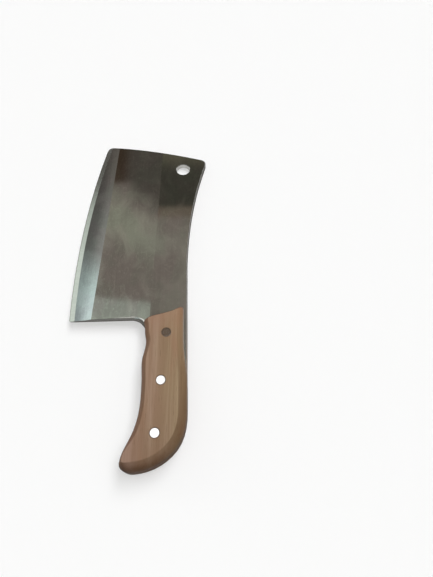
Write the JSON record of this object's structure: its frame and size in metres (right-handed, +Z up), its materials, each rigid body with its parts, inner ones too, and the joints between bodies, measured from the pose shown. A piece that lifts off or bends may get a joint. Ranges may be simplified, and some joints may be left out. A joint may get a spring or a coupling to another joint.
{
  "type": "bone-chopping cleaver",
  "caption": "Wide, heavy bone-chopping cleaver: a ground steel blade with a hanging hole and a full tang, between contoured wooden scales held by flush rivets.",
  "frame": {"origin": "middle of the bounding box in plan, on the outer face of the back scale, on which the knife lies", "axes": "+Y along the knife from the butt to the front of the blade, +X out of the spine, away from the cutting edge, +Z up through the thickness and out of the front scale"},
  "size_m": [0.1126, 0.3014, 0.0222],
  "materials": {
    "blade_steel": "satin, ground along the edge",
    "handle_wood": "sanded and lightly oiled",
    "rivet_steel": "polished flush"
  },
  "bodies": {
    "root": {"blade": "blade_steel", "front_scale": "handle_wood", "back_scale": "handle_wood", "rivet_1_female": "rivet_steel", "rivet_1_male": "rivet_steel", "rivet_2_female": "rivet_steel", "rivet_2_male": "rivet_steel", "rivet_3_female": "rivet_steel", "rivet_3_male": "rivet_steel"}
  },
  "joints": []
}
